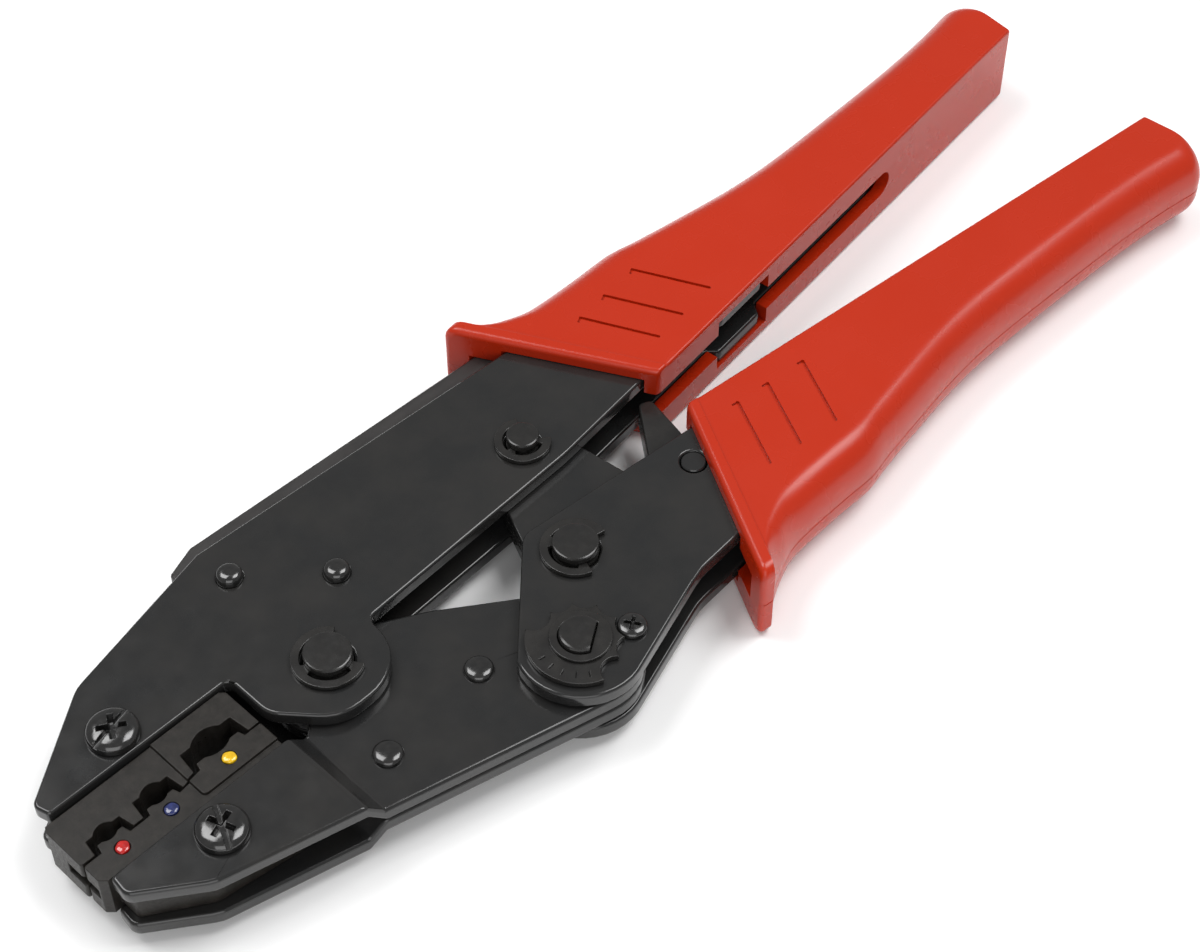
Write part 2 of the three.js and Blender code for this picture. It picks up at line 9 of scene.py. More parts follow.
import bmesh
import bpy
import json
import math
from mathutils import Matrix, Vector


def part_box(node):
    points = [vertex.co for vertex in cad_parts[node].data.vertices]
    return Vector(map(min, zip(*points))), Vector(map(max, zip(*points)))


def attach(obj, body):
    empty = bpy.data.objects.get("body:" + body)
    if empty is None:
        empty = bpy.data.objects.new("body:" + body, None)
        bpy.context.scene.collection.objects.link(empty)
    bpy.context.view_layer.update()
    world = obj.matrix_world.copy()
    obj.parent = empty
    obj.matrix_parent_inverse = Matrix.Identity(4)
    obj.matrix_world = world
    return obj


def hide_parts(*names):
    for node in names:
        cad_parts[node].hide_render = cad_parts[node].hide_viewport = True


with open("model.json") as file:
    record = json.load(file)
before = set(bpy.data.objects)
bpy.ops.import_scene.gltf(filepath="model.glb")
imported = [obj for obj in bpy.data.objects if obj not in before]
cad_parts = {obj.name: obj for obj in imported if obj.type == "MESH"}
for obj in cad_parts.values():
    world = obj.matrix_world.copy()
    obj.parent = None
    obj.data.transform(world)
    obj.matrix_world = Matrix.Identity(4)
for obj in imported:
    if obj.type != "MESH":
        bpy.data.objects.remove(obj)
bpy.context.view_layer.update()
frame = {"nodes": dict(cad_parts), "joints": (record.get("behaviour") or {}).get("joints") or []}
nodes = frame["nodes"]
MM = 0.001

# The stack of plates, from the CAD boxes
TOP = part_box("frame_plate_front")[1].z / MM
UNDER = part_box("frame_plate_rear")[0].z / MM
FRONT_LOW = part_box("frame_plate_front")[0].z / MM
INNER_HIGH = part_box("link_plate_front")[1].z / MM
INNER_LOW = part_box("link_plate_rear")[0].z / MM
MID = (TOP + UNDER) / 2

# Small gaps: round a pin, over the plates under a screw's head or a clip, and under a rivet's head
SLACK = 0.15
BEARING = 0.1
BEDDING = 0.05


def centre(node):
    """The middle of a CAD node's box in the plan, in millimetres."""
    low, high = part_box(node)
    return (low.x + high.x) / 2 / MM, (low.y + high.y) / 2 / MM


def joint_place(name):
    """Where a joint's axis crosses the plan, in millimetres."""
    joint = next(j for j in frame["joints"] if j["name"] == name)
    return tuple(value / MM for value in joint["pos_m"][:2])


# ---------------------------------------------------------------- materials

# The middle stretch of a noise texture's values, where most of them lie
COLOR_STOPS = (0.36, 0.66)
ROUGHNESS_STOPS = (0.35, 0.65)

# A wave texture of scale 1 repeats after this length
WAVE_PERIOD = 0.314


class Shader:
    """Adds procedural detail to one Principled material, in millimetres of object space."""

    def __init__(self, name, color, roughness, metallic=0.0):
        self.material = bpy.data.materials.new(name)
        self.material.use_nodes = True
        self.tree = self.material.node_tree
        self.bsdf = self.tree.nodes["Principled BSDF"]
        self.bsdf.inputs["Base Color"].default_value = (*color, 1)
        self.bsdf.inputs["Roughness"].default_value = roughness
        self.bsdf.inputs["Metallic"].default_value = metallic
        self.place = self.add("ShaderNodeTexCoord").outputs["Object"]

    def add(self, kind, **settings):
        """A new node in the material."""
        node = self.tree.nodes.new(kind)
        for key, value in settings.items():
            setattr(node, key, value)
        return node

    def link(self, start, end):
        self.tree.links.new(start, end)

    def noise(self, size, detail=3.0, rough=0.55, stretch=(1, 1, 1)):
        """Noise with features of about this size."""
        mapping = self.add("ShaderNodeMapping")
        mapping.inputs["Scale"].default_value = [s / (size * MM) for s in stretch]
        self.link(self.place, mapping.inputs["Vector"])
        node = self.add("ShaderNodeTexNoise")
        node.inputs["Scale"].default_value = 1.0
        node.inputs["Detail"].default_value = detail
        node.inputs["Roughness"].default_value = rough
        self.link(mapping.outputs["Vector"], node.inputs["Vector"])
        return node.outputs["Fac"]

    def rings(self, pitch):
        """Turning marks: rings around the piece's own Z axis."""
        node = self.add("ShaderNodeTexWave", wave_type="RINGS", rings_direction="Z")
        node.inputs["Scale"].default_value = WAVE_PERIOD / (pitch * MM)
        node.inputs["Distortion"].default_value = 0.5
        self.link(self.place, node.inputs["Vector"])
        return node.outputs["Fac"]

    def vary_color(self, value, first, second):
        """Blends two base colours by a texture."""
        ramp = self.add("ShaderNodeValToRGB")
        for element, position, color in zip(ramp.color_ramp.elements, COLOR_STOPS, (first, second)):
            element.position = position
            element.color = (*color, 1)
        self.link(value, ramp.inputs["Fac"])
        self.link(ramp.outputs["Color"], self.bsdf.inputs["Base Color"])

    def vary_roughness(self, value, low, high):
        """Spreads a texture's values over a range of roughness."""
        node = self.add("ShaderNodeMapRange")
        for key, number in zip(("From Min", "From Max"), ROUGHNESS_STOPS):
            node.inputs[key].default_value = number
        for key, number in zip(("To Min", "To Max"), (low, high)):
            node.inputs[key].default_value = number
        self.link(value, node.inputs["Value"])
        self.link(node.outputs["Result"], self.bsdf.inputs["Roughness"])

    def bump(self, *layers):
        """Each layer is a height texture and its depth."""
        normal = None
        for height, depth in layers:
            node = self.add("ShaderNodeBump")
            node.inputs["Strength"].default_value = 1.0
            node.inputs["Distance"].default_value = depth * MM
            self.link(height, node.inputs["Height"])
            if normal:
                self.link(normal, node.inputs["Normal"])
            normal = node.outputs["Normal"]
        self.link(normal, self.bsdf.inputs["Normal"])


def black_paint():
    s = Shader("black_paint", (0.017, 0.0165, 0.016), 0.18)
    s.vary_color(s.noise(9, 4), (0.0145, 0.0148, 0.015), (0.020, 0.0193, 0.0185))
    s.vary_roughness(s.noise(3.5, 5), 0.13, 0.19)
    s.bump((s.noise(16, 1), 0.03), (s.noise(1.1, 2), 0.002))
    return s.material


def strip_paint():
    s = Shader("strip_paint", (0.014, 0.0125, 0.012), 0.42)
    s.vary_color(s.noise(6, 4), (0.013, 0.0115, 0.011), (0.021, 0.0185, 0.0175))
    s.vary_roughness(s.noise(2, 5, stretch=(0.2, 1, 1)), 0.36, 0.5)
    s.bump((s.noise(0.25, 3, stretch=(0.15, 1, 1)), 0.006))
    return s.material


def cast_steel():
    s = Shader("cast_steel", (0.012, 0.010, 0.008), 0.4)
    s.vary_color(s.noise(1.8, 6, 0.7), (0.009, 0.0078, 0.0065), (0.019, 0.0165, 0.014))
    s.vary_roughness(s.noise(0.5, 4), 0.32, 0.48)
    s.bump((s.noise(0.32, 4, 0.7), 0.012), (s.noise(2.4, 2), 0.03))
    s.bsdf.inputs["Specular IOR Level"].default_value = 0.25
    return s.material


def turned_steel():
    s = Shader("turned_steel", (0.014, 0.0135, 0.013), 0.22)
    s.vary_color(s.noise(2.5, 3), (0.0125, 0.0122, 0.0118), (0.017, 0.0162, 0.0152))
    s.vary_roughness(s.noise(1.5, 3), 0.18, 0.26)
    s.bump((s.rings(0.42), 0.0025), (s.noise(0.9, 2), 0.002))
    return s.material


def gloss_black():
    s = Shader("gloss_black", (0.009, 0.009, 0.009), 0.15)
    s.vary_color(s.noise(1.2, 4), (0.007, 0.007, 0.007), (0.014, 0.0135, 0.013))
    s.vary_roughness(s.noise(0.8, 4), 0.1, 0.2)
    s.bump((s.noise(0.6, 2), 0.006))
    s.bsdf.inputs["Specular IOR Level"].default_value = 0.8
    return s.material


def stamped_steel():
    s = Shader("stamped_steel", (0.014, 0.0135, 0.013), 0.22)
    s.vary_color(s.noise(3, 3), (0.0125, 0.012, 0.0115), (0.018, 0.017, 0.0158))
    s.vary_roughness(s.noise(2, 3), 0.18, 0.25)
    s.bump((s.noise(1.1, 2), 0.0025))
    return s.material


def red_plastic():
    s = Shader("red_plastic", (0.39, 0.019, 0.002), 0.3)
    s.vary_color(s.noise(30, 2), (0.395, 0.0185, 0.0018), (0.41, 0.0195, 0.0022))
    s.vary_roughness(s.noise(9, 3), 0.25, 0.29)
    s.bump((s.noise(20, 1), 0.02), (s.noise(0.35, 1), 0.0005))
    s.bsdf.inputs["Specular IOR Level"].default_value = 0.4
    return s.material


def enamel(name, dark, light):
    s = Shader(name, light, 0.14)
    s.vary_color(s.noise(0.9, 3), dark, light)
    s.vary_roughness(s.noise(0.5, 2), 0.1, 0.2)
    s.bump((s.noise(0.7, 2), 0.05))
    s.bsdf.inputs["Coat Weight"].default_value = 0.6
    s.bsdf.inputs["Coat Roughness"].default_value = 0.06
    return s.material


PAINT = black_paint()
STRIP = strip_paint()
CAST = cast_steel()
TURNED = turned_steel()
GLOSS = gloss_black()
STAMPED = stamped_steel()
RED = red_plastic()

# ---------------------------------------------------------------- meshes


def to_mesh(name, bm):
    """A mesh in metres from a bmesh in millimetres."""
    bmesh.ops.recalc_face_normals(bm, faces=bm.faces)
    bmesh.ops.scale(bm, vec=(MM, MM, MM), verts=bm.verts)
    mesh = bpy.data.meshes.new(name)
    bm.to_mesh(mesh)
    bm.free()
    return mesh


def add_object(name, mesh, at):
    """A mesh put in the scene at a place in the plan, in millimetres."""
    piece = bpy.data.objects.new(name, mesh)
    piece.location = (at[0] * MM, at[1] * MM, 0)
    bpy.context.scene.collection.objects.link(piece)
    return piece


def shade(mesh, sharp):
    """Smooth shading, with sharp edges past this angle."""
    mesh.polygons.foreach_set("use_smooth", [True] * len(mesh.polygons))
    mesh.set_sharp_from_angle(angle=math.radians(sharp))


def carve(mesh_object, tools):
    """Cuts the bmesh tools, drawn in the object's own coordinates, out of it."""
    helpers = []
    for bm in tools:
        helper = add_object("cutter", to_mesh("cutter", bm), (0, 0))
        helper.location = mesh_object.location
        helpers.append(helper)
        boolean = mesh_object.modifiers.new("cut", "BOOLEAN")
        boolean.operation = "DIFFERENCE"
        boolean.solver = "EXACT"
        boolean.object = helper
    bpy.context.view_layer.update()
    graph = bpy.context.evaluated_depsgraph_get()
    mesh = bpy.data.meshes.new_from_object(mesh_object.evaluated_get(graph))
    mesh_object.modifiers.clear()
    mesh_object.data = mesh
    for helper in helpers:
        bpy.data.objects.remove(helper)


def round_edges(piece, width, segments=3, angle=32, clamp=True):
    """Rounds every edge that is sharper than the angle."""
    bevel = piece.modifiers.new("edges", "BEVEL")
    bevel.width = width * MM
    bevel.segments = segments
    bevel.limit_method = "ANGLE"
    bevel.angle_limit = math.radians(angle)
    bevel.use_clamp_overlap = clamp
    bevel.harden_normals = True


pieces = []


def make(name, stands_for, bm, body, material, at=(0, 0), cuts=(), sharp=35):
    """One visual piece: its mesh, its cuts, its material, and the body it rides on."""
    piece = add_object(name, to_mesh(name, bm), at)
    if cuts:
        carve(piece, cuts)
    piece.data.materials.clear()
    piece.data.materials.append(material)
    piece.data.polygons.foreach_set("material_index", [0] * len(piece.data.polygons))
    shade(piece.data, sharp)
    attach(piece, body)
    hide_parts(stands_for)
    pieces.append(piece)
    return piece


def loft(rings):
    """A bmesh over rings of points, with flat ends. Rings of one point close to a tip."""
    bm = bmesh.new()
    loops = [[bm.verts.new(point) for point in ring] for ring in rings]
    for low, high in zip(loops, loops[1:]):
        count = max(len(low), len(high))
        for i in range(count):
            j = (i + 1) % count
            corners = [ring[k % len(ring)] for ring, k in ((low, i), (low, j), (high, j), (high, i))]
            bm.faces.new(list(dict.fromkeys(corners)))
    for loop in (loops[0], loops[-1]):
        if len(loop) > 2:
            bm.faces.new(loop)
    return bm


def turned(profile, sides=72):
    """A body turned about Z from (radius, z) points that start and end on the axis."""
    angles = [2 * math.pi * i / sides for i in range(sides)]
    rings = []
    for radius, z in profile:
        if radius == 0:
            rings.append([(0, 0, z)])
        else:
            rings.append([(radius * math.cos(a), radius * math.sin(a), z) for a in angles])
    return loft(rings)


def prism(outline, low, high):
    """An upright body between two heights."""
    return loft([[(x, y, low) for x, y in outline], [(x, y, high) for x, y in outline]])


def rod(at, radius, low, high):
    """An upright round bar."""
    return prism(arc(at, radius, 0, 354), low, high)


def arc(at, radius, start, end, step=6):
    """Points on an arc, with its angles in degrees."""
    count = max(2, round(abs(end - start) / step))
    angles = [math.radians(start + (end - start) * i / count) for i in range(count + 1)]
    return [(at[0] + radius * math.cos(a), at[1] + radius * math.sin(a)) for a in angles]


def spun(points, degrees):
    """The points turned about the origin."""
    c, s = math.cos(math.radians(degrees)), math.sin(math.radians(degrees))
    return [(x * c - y * s, x * s + y * c) for x, y in points]


# ---------------------------------------------------------------- the CAD nodes that stay

# Points this close are one point, faces this close in angle are one face, and edges past the last
# angle stay sharp
SAME_POINT = 0.002
SAME_FACE = 0.6
SHARP_NODE = 32


def dress(names, material, edge, segments=3):
    """Rounds the edges of carried-over CAD nodes and gives them their material."""
    for name in names:
        node = nodes[name]
        node.data.materials.clear()
        node.data.materials.append(material)
        shade(node.data, SHARP_NODE)
        weld = node.modifiers.new("one_skin", "WELD")
        weld.merge_threshold = SAME_POINT * MM
        flat = node.modifiers.new("flat_faces", "DECIMATE")
        flat.decimate_type = "DISSOLVE"
        flat.angle_limit = math.radians(SAME_FACE)
        round_edges(node, edge, segments, clamp=False)
        pieces.append(node)


dress(["frame_plate_front", "frame_plate_rear"], PAINT, 0.5, 4)
dress(["handle_plate_front", "handle_plate_rear"], PAINT, 0.5, 4)
dress(["jaw_plate_front", "jaw_plate_rear"], PAINT, 0.6, 4)
dress(["link_plate_front", "link_plate_rear"], PAINT, 0.25)
dress(["frame_back_strip"], STRIP, 0.45)
dress(["ratchet_pawl"], STAMPED, 0.4)
dress(["upper_die", "lower_die"], CAST, 0.16, 2)

# ---------------------------------------------------------------- pins and clips

# How far a pin stands above the plates, and how far its head and its clip reach past its shank
CAP = 2.2
HEAD_LIP = 1.9

# The groove under a pin's cap, and the clip in it. The mouth is given as half of its angle. A lug
# reaches LUG_HALF to each side of its middle, and the wider stretches start LUG_SPACE from there.
GROOVE_LOW = TOP + BEARING
GROOVE_HIGH = TOP + 1.1
GROOVE_DEPTH = 0.7
CLIP_LOW = TOP + 0.16
CLIP_HIGH = TOP + 0.92
CLIP_BITE = 0.55
CLIP_MOUTH = 48
LUG_HALF = 9
LUG_SPACE = 14


def clip_pin(node, radius, body):
    """A turned pin: a wide head underneath, a clip groove, and a chamfered top."""
    top = TOP + CAP
    neck = UNDER - SLACK
    head = radius + HEAD_LIP
    groove = radius - GROOVE_DEPTH
    profile = [
        (0, 0), (head - 0.5, 0), (head - 0.15, 0.12), (head, 0.45), (head, neck), (radius, neck),
        (radius, GROOVE_LOW), (groove, GROOVE_LOW), (groove, GROOVE_HIGH), (radius, GROOVE_HIGH),
        (radius, top - 0.3), (radius - 0.1, top - 0.09), (radius - 0.3, top), (0, top),
    ]
    make(node + "_turned", node, turned(profile), body, TURNED, centre(node), sharp=20)


def retaining_clip(node, pin, radius, mouth_faces, body):
    """A stamped ring with a mouth, and three lugs that reach into the pin's groove."""
    hub = (0, 0)

    def lug(middle):
        return arc(hub, radius - CLIP_BITE, middle - LUG_HALF, middle + LUG_HALF)

    def between(lug_before, lug_after):
        return arc(hub, radius + CLIP_BITE, lug_before + LUG_SPACE, lug_after - LUG_SPACE)

    first = CLIP_MOUTH + LUG_HALF
    last = 360 - first
    outline = arc(hub, radius + HEAD_LIP, 360 - CLIP_MOUTH, CLIP_MOUTH)
    outline += lug(first) + between(first, 180) + lug(180) + between(180, last) + lug(last)
    bm = prism(spun(outline, mouth_faces), CLIP_LOW, CLIP_HIGH)
    piece = make(node + "_stamped", node, bm, body, STAMPED, centre(pin))
    round_edges(piece, 0.14, 2)


for pin, clip, radius, mouth_faces, body in (
    ("main_pivot_pin", "main_pivot_clip", 3.7, -10, "frame"),
    ("link_pin", "link_pin_clip", 2.6, 10, "frame"),
    ("handle_pin", "handle_pin_clip", 3.6, -59, "handle"),
):
    clip_pin(pin, radius, body)
    retaining_clip(clip, pin, radius, mouth_faces, body)

# ---------------------------------------------------------------- rivets and screws

RIVET_SHANK = 1.65

# How much wider a screw's recess is at its top than its named size
RECESS_FLARE = 1.25


def rounded_rise(radius, face, rise, squareness=0.62, steps=12):
    """Profile points of a formed head, from its rim up to the axis."""
    points = []
    for i in range(steps):
        angle = math.pi / 2 * i / steps
        reach = math.cos(angle) ** squareness
        height = math.sin(angle) ** squareness
        points.append((radius * reach, face + rise * height))
    return points + [(0, face + rise)]


def domed_rivet(node, body, low, high, rise, radius):
    """A rivet with the same formed head on both faces of its plates."""
    under = low - BEDDING
    over = high + BEDDING
    below = rounded_rise(radius, under, -rise)[::-1]
    above = rounded_rise(radius, over, rise)
    profile = below + [(RIVET_SHANK, under), (RIVET_SHANK, over)] + above
    make(node + "_domed", node, turned(profile, 48), body, GLOSS, centre(node), sharp=50)


for place in ("nose", "middle"):
    domed_rivet("frame_rivet_" + place, "frame", UNDER, TOP, 1.6, 2.1)
for place in ("nose", "heel"):
    domed_rivet("jaw_rivet_" + place, "jaw", INNER_LOW, INNER_HIGH, 1.0, 2.3)


def recess_bar(length, width, low, high, turn, taper):
    """A bar that widens upwards, for one arm of a screw's recess."""
    corners = [(-length, -width), (length, -width), (length, width), (-length, width)]
    rings = []
    for scale, z in ((taper, low), (RECESS_FLARE, high)):
        outline = [(x * scale, y * scale) for x, y in corners]
        rings.append([(x, y, z) for x, y in spun(outline, turn)])
    return loft(rings)


def cross_screw(node, body, head, shank, tip, turn, slot_turn=None):
    """A round-headed screw with a cross recess. The die screws have a driver slot as well."""
    base = TOP + BEARING
    rise = head * 0.5
    profile = [(0, tip), (shank, tip), (shank, base), (head - 0.12, base), (head, base + 0.15)]
    profile += rounded_rise(head, base + 0.25, rise - 0.25, 0.66)
    cross = (head * 0.5, head * 0.1, base + rise * 0.25, base + rise * 1.2)
    cuts = [recess_bar(*cross, turn + arm, 0.75) for arm in (0, 90)]
    if slot_turn is not None:
        slot = (head * 1.1, head * 0.09, base + rise * 0.45, base + rise * 1.3)
        cuts.append(recess_bar(*slot, slot_turn, 1))
    bm = turned(profile, 64)
    piece = make(node + "_cross", node, bm, body, GLOSS, centre(node), cuts, 30)
    round_edges(piece, 0.07, 2, 40, False)


cross_screw("upper_die_screw", "frame", 4.0, 1.9, UNDER, 58, 13)
cross_screw("lower_die_screw", "jaw", 4.0, 1.9, UNDER, 20, 65)
cross_screw("wheel_lock_screw", "handle", 2.3, 1.3, FRONT_LOW + 0.1, 32)


def flush_rivet(node, body, radius):
    """The pawl's rivet, ground flush with the plates."""
    top = TOP + 0.02
    profile = [
        (0, UNDER), (radius - 0.17, UNDER), (radius, UNDER + 0.2),
        (radius, top - 0.18), (radius - 0.15, top), (0, top),
    ]
    make(node + "_flush", node, turned(profile), body, PAINT, centre(node))


flush_rivet("pawl_rivet", "handle", 1.97)

# ---------------------------------------------------------------- the adjuster on the eccentric pin

# LOCK is the lock screw's place from the pin's axis. A notch is a little wider than the screw's head.
ECCENTRIC = joint_place("handle_hinge")
LOCK = tuple(a - b for a, b in zip(centre("wheel_lock_screw"), ECCENTRIC))
PIN_R = 3.3
PIN_HEAD = 5.4
PIN_FLAT = 1.9
FLAT_FACES = -57
WHEEL_R = 8.3
WHEEL_LOW = TOP + 0.12
WHEEL_HIGH = WHEEL_LOW + 0.95
NOTCH_R = 2.55
NOTCH_PITCH = 33
NOTCHES = range(-2, 5)
TICKS = 5
TICKS_FROM = 168
TICK_PITCH = 17
TICK_DEPTH = 0.06
WASHER_R = 4.7
WASHER_LOW = WHEEL_HIGH + 0.06
WASHER_HIGH = WASHER_LOW + 0.5


def beyond_flat(distance, low, high):
    """Everything on the far side of the pin's flat."""
    corners = [(distance, -9), (distance + 9, -9), (distance + 9, 9), (distance, 9)]
    return prism(spun(corners, FLAT_FACES), low, high)


def keyed_bore():
    """A cutter for a round hole with a flat side, which fits over the pin."""
    radius = PIN_R + SLACK
    half = math.degrees(math.acos((PIN_FLAT + SLACK) / radius))
    outline = spun(arc((0, 0), radius, half, 360 - half), FLAT_FACES)
    return prism(outline, WHEEL_LOW - 1, WASHER_HIGH + 1)


def eccentric_pin():
    """The keyed pin that the handle turns on. Its flat starts just above the handle's plate."""
    top = TOP + CAP + 0.3
    neck = UNDER - SLACK
    profile = [
        (0, 0), (PIN_HEAD - 0.5, 0), (PIN_HEAD - 0.15, 0.12), (PIN_HEAD, 0.45),
        (PIN_HEAD, neck), (PIN_R, neck),
        (PIN_R, top - 0.45), (PIN_R - 0.15, top - 0.14), (PIN_R - 0.45, top), (0, top),
    ]
    cuts = [beyond_flat(PIN_FLAT, TOP + BEDDING, top + 1)]
    node = "eccentric_pin"
    make(node + "_turned", node, turned(profile), "handle", TURNED, ECCENTRIC, cuts, 20)


def stamped_disc(node, bm, cuts):
    """A stamped disc that is keyed to the eccentric pin."""
    tools = [keyed_bore()] + cuts
    piece = make(node + "_stamped", node, bm, "handle", STAMPED, ECCENTRIC, tools, 30)
    round_edges(piece, 0.12, 2, 40, False)


def adjuster_wheel():
    """The notched wheel. The lock screw's head sits in one notch, and the smooth rim has tick marks."""
    away = math.hypot(*LOCK)
    toward_lock = math.degrees(math.atan2(LOCK[1], LOCK[0]))
    cuts = []
    for step in NOTCHES:
        notch = spun([(away, 0)], toward_lock + step * NOTCH_PITCH)[0]
        cuts.append(rod(notch, NOTCH_R, WHEEL_LOW - 1, WHEEL_HIGH + 1))
    tick = [(6.2, -0.06), (7.2, -0.06), (7.2, 0.06), (6.2, 0.06)]
    for step in range(TICKS):
        outline = spun(tick, TICKS_FROM + step * TICK_PITCH)
        cuts.append(prism(outline, WHEEL_HIGH - TICK_DEPTH, WHEEL_HIGH + 1))
    rim = arc((0, 0), WHEEL_R, 0, 356, 4)
    stamped_disc("adjuster_wheel", prism(rim, WHEEL_LOW, WHEEL_HIGH), cuts)


def adjuster_washer():
    """The washer on top of the wheel."""
    stamped_disc("adjuster_washer", rod((0, 0), WASHER_R, WASHER_LOW, WASHER_HIGH), [])


eccentric_pin()
adjuster_wheel()
adjuster_washer()

# ---------------------------------------------------------------- paint marks on the lower die

DOT_R = 1.05
DOT_SINKS = 0.6


def paint_mark(color, dark, light, wobble):
    """A drop of enamel in its dimple, not quite round."""
    node = "die_mark_" + color
    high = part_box(node)[1].z / MM
    rim = high - 0.2
    profile = [(0, high - DOT_SINKS), (DOT_R, high - DOT_SINKS), (DOT_R, high - 0.22)]
    for share, rise in ((0.93, 0.07), (0.75, 0.15), (0.5, 0.2), (0.25, 0.21)):
        profile.append((DOT_R * share, rim + rise))
    profile.append((0, high))
    bm = turned(profile, 40)
    for vert in bm.verts:
        angle = math.atan2(vert.co.y, vert.co.x)
        swell = 1 + 0.05 * math.sin(2 * angle + wobble) + 0.03 * math.sin(5 * angle + 2 * wobble)
        vert.co.x *= swell
        vert.co.y *= swell
    material = enamel("enamel_" + color, dark, light)
    make(node + "_drop", node, bm, "jaw", material, centre(node), sharp=60)


paint_mark("red", (0.34, 0.006, 0.006), (0.48, 0.012, 0.010), 0.4)
paint_mark("blue", (0.010, 0.016, 0.075), (0.02, 0.03, 0.13), 1.7)
paint_mark("yellow", (0.62, 0.36, 0.005), (0.78, 0.5, 0.012), 2.9)

# ---------------------------------------------------------------- the moulded grips

# Grip coordinates: x from the mouth to the end along the straight inner face, y outwards from it.
GRIPS = {
    "fixed_grip": {"body": "frame", "at": (74.1, 3.3), "turn": 6.83, "flip": 1},
    "moving_grip": {"body": "handle", "at": (72.5, -4.5), "turn": -5.88, "flip": -1},
}

# Length of the inner face, half of the thickness, and how far the mouth and the end lean
LENGTH = 104
HALF = 7.7
MOUTH_LEAN = math.tan(math.radians(22.3))
END_LEAN = math.tan(math.radians(12))

# Slices run over this length, from the mouth's rim to the farthest point of the end
RUN = LENGTH + 9

# The flange round the mouth, and the fillets behind it
FLANGE_HALF = 8.0
FLANGE_REACH = 33.4
FLANGE_WIDTH = 2.3
FLANGE_FILLET = 2.8
FLANGE_ROUND = 2.0
RIM_FILLET = 0.9

# The round of the outer side, of the end's corner, of the mouth's and the end's rims, and of the
# inner edges, then the depth of the notch along the parting line
SIDE_INSET = 5.6
SIDE_DROP = 6.4
CORNER = 4.5
RIM = 1.1
END_RIM = 0.45
INNER_EDGE = 0.45
PARTING = 0.14

# The outer side's distance from the inner face along the grip
SIDE = (
    (-14, 34), (-7, 29.8), (-3.4, 28.0), (1, 27.0), (9, 25.95), (16.5, 25.1), (21, 23.7), (31, 21.0),
    (41, 18.5), (51, 16.8), (66, 15.4), (86, 14.0), (112, 13.35),
)

# What is cut out of a grip: pockets for the plates' tails and for the back strip, a window on the
# inner face, and a slot along it
TAIL_POCKET = ((-20, 2.1), (66.8, 2.1), (66.8, 10.5), (20, 16.6), (0, 22.3), (-20, 25.8))
STRIP_POCKET = ((-20, 10), (-5, 10), (-7.5, 28.3), (-20, 30.5))
WINDOW = ((15.5, -1), (29.5, -1), (29.5, 5), (15.5, 5))
SLOT_END = 66
SLOT_HALF = 2.6

# The finger grooves: where each one starts, and the small hook at one of its ends
GROOVES = (1.1, 7.4, 14.9)
GROOVE_TOP = 17.3
GROOVE_RUN = 13.2
GROOVE_TURN = -70.5
GROOVE_HALF = 0.3
GROOVE_CUT = 0.45
GROOVE_FOOT = (4.4, 4.86)
HOOK_RUN = 0.9
HOOK_HALF = 0.22


def side_at(x):
    """How far the outer side is from the inner face at x: a smooth curve through SIDE."""
    i = max(1, min(len(SIDE) - 3, sum(1 for point in SIDE if point[0] <= x) - 1))
    before, here, after, beyond = SIDE[i - 1:i + 3]
    width = after[0] - here[0]
    t = (x - here[0]) / width
    start = (after[1] - before[1]) / (after[0] - before[0]) * width
    end = (beyond[1] - here[1]) / (beyond[0] - here[0]) * width
    return (
        here[1] * (2 * t**3 - 3 * t**2 + 1) + start * (t**3 - 2 * t**2 + t)
        + after[1] * (3 * t**2 - 2 * t**3) + end * (t**3 - t**2)
    )


def on_plan(grip, x, y):
    """Grip coordinates to the plan."""
    px, py = spun([(x, y * grip["flip"])], grip["turn"])[0]
    return grip["at"][0] + px, grip["at"][1] + py


def corner_loss(radius, distance):
    """How much a round corner takes off at this distance from its end."""
    if distance >= radius:
        return 0
    return radius - math.sqrt(radius**2 - (radius - distance)**2)


def flange_share(from_mouth, fillet):
    """1 along the flange, and down to 0 over the fillet behind it."""
    return corner_loss(1, max(0, (from_mouth - FLANGE_WIDTH) / fillet))


def blend(plain, at_flange, share):
    """A measure between its plain value and its value along the flange."""
    return plain + (at_flange - plain) * share


def eased(length, angles):
    """Distances up to length that follow the points of a quarter circle."""
    return [length * (1 - math.cos(math.radians(angle))) for angle in angles]


def stations():
    """Distances from the mouth: close together at the flange, the hump and the end."""
    lines = eased(RIM, range(0, 91, 15))
    lines += [FLANGE_WIDTH + line for line in eased(FLANGE_FILLET, range(0, 91, 9))]
    lines += [6.5 + 1.5 * i for i in range(21)]
    lines += [38.5 + 3 * i for i in range(23)]
    lines += [RUN - line for line in eased(CORNER, range(90, 21, -9))]
    lines += [RUN - line for line in eased(END_RIM, range(90, -1, -18))]
    return lines


def half_section(inner, reach, half, inset, drop):
    """The upper half of a slice, as (y, z) from the inner face over the top to the parting line."""
    points = [(inner, 0), (inner, half * 0.5), (inner, half - INNER_EDGE - 0.3)]
    for angle in range(0, 91, 30):
        c, s = math.cos(math.radians(angle)), math.sin(math.radians(angle))
        points.append((inner + INNER_EDGE * (1 - c), half - INNER_EDGE * (1 - s)))
    first, last = inner + INNER_EDGE, reach - inset
    points += [(first + (last - first) * f, half) for f in (0.04, 0.2, 0.4, 0.6, 0.8, 0.93)]
    for angle in range(0, 91, 6):
        c, s = math.cos(math.radians(angle)), math.sin(math.radians(angle))
        points.append((last + inset * s, half - drop + drop * c))
    return points + [(reach, (half - drop) * 0.6), (reach, PARTING), (reach - PARTING, 0)]


